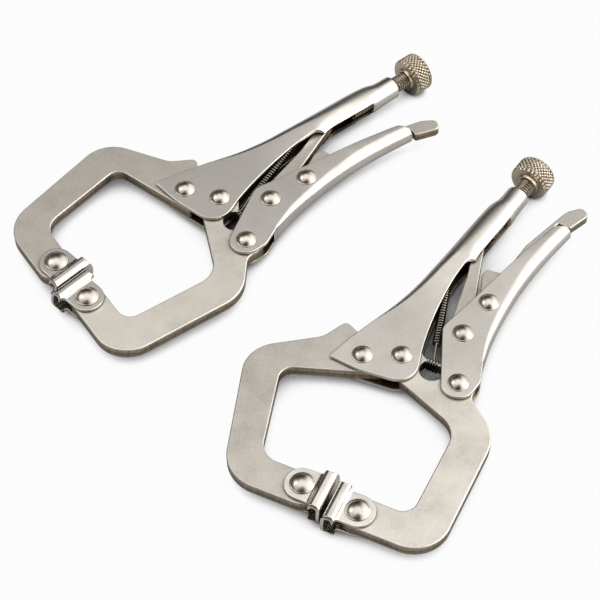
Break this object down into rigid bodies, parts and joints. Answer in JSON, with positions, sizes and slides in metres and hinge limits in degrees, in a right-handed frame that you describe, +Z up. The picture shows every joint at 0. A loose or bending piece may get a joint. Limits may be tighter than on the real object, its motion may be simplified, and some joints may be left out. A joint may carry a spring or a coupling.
{
  "type": "locking c-clamps",
  "caption": "Locking C-clamps lying on their sides: riveted plate jaws with swivel pads, folded handle and toggle lever, release lever, spring and knurled adjusting screw.",
  "frame": {"origin": "middle of the pair's bounding box in X and Y, at the level the clamps rest on", "axes": "+Z up, square to the clamps' flat sides; +X to the right and +Y away from the viewer in the picture"},
  "size_m": [0.2214, 0.2324, 0.0158],
  "materials": {
    "jaw_steel": "nickel plate over punched plate, satin faces and brown burnished edges",
    "pressed_steel": "nickel plate over folded sheet, satin with bright rolled edges",
    "linkage_steel": "nickel plate over punched plate, darker inside the handle",
    "rivet_steel": "polished domed heads",
    "pad_steel": "bright nickel plate over stamped sheet",
    "screw_steel": "warm nickel plate, knurled knob and rolled thread",
    "spring_steel": "oiled black spring wire"
  },
  "bodies": {
    "front_frame": {"front_handle": "pressed_steel", "front_outer_jaw_rivet": "rivet_steel", "front_main_rivet": "rivet_steel", "front_spring": "spring_steel"},
    "front_outer_arm": {"front_outer_jaw": "jaw_steel", "front_outer_pad_rivet": "rivet_steel"},
    "front_outer_swivel": {"front_outer_pad": "pad_steel"},
    "front_lever_arm": {"front_lever_jaw": "jaw_steel", "front_lever_pad_rivet": "rivet_steel", "front_spring_turns": "spring_steel"},
    "front_lever_swivel": {"front_lever_pad": "pad_steel"},
    "front_grip_lever": {"front_lever": "pressed_steel", "front_lever_rivet": "rivet_steel", "front_link_rivet": "rivet_steel", "front_release_rivet": "rivet_steel"},
    "front_toggle": {"front_link": "linkage_steel"},
    "front_release": {"front_release_lever": "linkage_steel"},
    "front_screw": {"front_adjusting_screw": "screw_steel", "front_knob": "screw_steel"},
    "rear_frame": {"rear_handle": "pressed_steel", "rear_outer_jaw_rivet": "rivet_steel", "rear_main_rivet": "rivet_steel", "rear_spring": "spring_steel"},
    "rear_outer_arm": {"rear_outer_jaw": "jaw_steel", "rear_outer_pad_rivet": "rivet_steel"},
    "rear_outer_swivel": {"rear_outer_pad": "pad_steel"},
    "rear_lever_arm": {"rear_lever_jaw": "jaw_steel", "rear_lever_pad_rivet": "rivet_steel", "rear_spring_turns": "spring_steel"},
    "rear_lever_swivel": {"rear_lever_pad": "pad_steel"},
    "rear_grip_lever": {"rear_lever": "pressed_steel", "rear_lever_rivet": "rivet_steel", "rear_link_rivet": "rivet_steel", "rear_release_rivet": "rivet_steel"},
    "rear_toggle": {"rear_link": "linkage_steel"},
    "rear_release": {"rear_release_lever": "linkage_steel"},
    "rear_screw": {"rear_adjusting_screw": "screw_steel", "rear_knob": "screw_steel"}
  },
  "joints": [
    {"name": "front_outer_jaw_hinge", "type": "hinge", "parent": "front_frame", "child": "front_outer_arm", "pos_m": [0.02073, -0.03518, 0.0079], "axis": [0, 0, 1], "range_deg": [-22, 0]},
    {"name": "front_outer_pad_swivel", "type": "hinge", "parent": "front_outer_arm", "child": "front_outer_swivel", "pos_m": [-0.00255, -0.0896, 0.0079], "axis": [0, 0, 1], "range_deg": [0, 22]},
    {"name": "front_lever_jaw_hinge", "type": "hinge", "parent": "front_frame", "child": "front_lever_arm", "pos_m": [0.03504, -0.03581, 0.0079], "axis": [0, 0, 1], "range_deg": [0, 16], "deforming": ["front_spring"]},
    {"name": "front_lever_pad_swivel", "type": "hinge", "parent": "front_lever_arm", "child": "front_lever_swivel", "pos_m": [0.01635, -0.10121, 0.0079], "axis": [0, 0, 1], "range_deg": [-16, 0]},
    {"name": "front_lever_hinge", "type": "hinge", "parent": "front_lever_arm", "child": "front_grip_lever", "pos_m": [0.05471, -0.04899, 0.0079], "axis": [0, 0, 1], "range_deg": [-53.9, 0.5]},
    {"name": "front_link_hinge", "type": "hinge", "parent": "front_grip_lever", "child": "front_toggle", "pos_m": [0.05797, -0.02689, 0.0079], "axis": [0, 0, 1], "range_deg": [-0.5, 57.5]},
    {"name": "front_release_hinge", "type": "hinge", "parent": "front_grip_lever", "child": "front_release", "pos_m": [0.06857, -0.01308, 0.0079], "axis": [0, 0, 1], "range_deg": [-2, 1.5]},
    {"name": "front_screw_turn", "type": "hinge", "parent": "front_frame", "child": "front_screw", "pos_m": [0.08445, 0.04139, 0.0079], "axis": [0.5878, 0.809, 0], "continuous": true},
    {"name": "rear_lift", "type": "slide", "parent": "front_frame", "child": "rear_frame", "axis": [0, 0, 1], "range_m": [0, 0.12]},
    {"name": "rear_outer_jaw_hinge", "type": "hinge", "parent": "rear_frame", "child": "rear_outer_arm", "pos_m": [-0.04479, 0.04673, 0.0079], "axis": [0, 0, 1], "range_deg": [-8, 0]},
    {"name": "rear_outer_pad_swivel", "type": "hinge", "parent": "rear_outer_arm", "child": "rear_outer_swivel", "pos_m": [-0.09322, 0.0127, 0.0079], "axis": [0, 0, 1], "range_deg": [0, 8]},
    {"name": "rear_lever_jaw_hinge", "type": "hinge", "parent": "rear_frame", "child": "rear_lever_arm", "pos_m": [-0.03129, 0.04193, 0.0079], "axis": [0, 0, 1], "range_deg": [0, 8], "deforming": ["rear_spring"]},
    {"name": "rear_lever_pad_swivel", "type": "hinge", "parent": "rear_lever_arm", "child": "rear_lever_swivel", "pos_m": [-0.08095, -0.00454, 0.0079], "axis": [0, 0, 1], "range_deg": [-8, 0]},
    {"name": "rear_lever_hinge", "type": "hinge", "parent": "rear_lever_arm", "child": "rear_grip_lever", "pos_m": [-0.0212, 0.02051, 0.0079], "axis": [0, 0, 1], "range_deg": [-32, 0.5]},
    {"name": "rear_link_hinge", "type": "hinge", "parent": "rear_grip_lever", "child": "rear_toggle", "pos_m": [-0.0116, 0.04068, 0.0079], "axis": [0, 0, 1], "range_deg": [-0.5, 37.5]},
    {"name": "rear_release_hinge", "type": "hinge", "parent": "rear_grip_lever", "child": "rear_release", "pos_m": [0.00258, 0.05078, 0.0079], "axis": [0, 0, 1], "range_deg": [-0.4, 2.5]},
    {"name": "rear_screw_turn", "type": "hinge", "parent": "rear_frame", "child": "rear_screw", "pos_m": [0.03859, 0.10125, 0.0079], "axis": [0.7992, 0.6011, 0], "continuous": true}
  ],
  "couplings": [
    {"joint": "front_outer_pad_swivel", "follows": "front_outer_jaw_hinge", "ratio": -1},
    {"joint": "front_lever_pad_swivel", "follows": "front_lever_jaw_hinge", "ratio": -1},
    {"joint": "front_lever_hinge", "follows": "front_lever_jaw_hinge", "ratio": -3.339},
    {"joint": "front_link_hinge", "follows": "front_lever_jaw_hinge", "ratio": 3.563},
    {"joint": "rear_outer_pad_swivel", "follows": "rear_outer_jaw_hinge", "ratio": -1},
    {"joint": "rear_lever_pad_swivel", "follows": "rear_lever_jaw_hinge", "ratio": -1},
    {"joint": "rear_lever_hinge", "follows": "rear_lever_jaw_hinge", "ratio": -3.943},
    {"joint": "rear_link_hinge", "follows": "rear_lever_jaw_hinge", "ratio": 4.624}
  ]
}
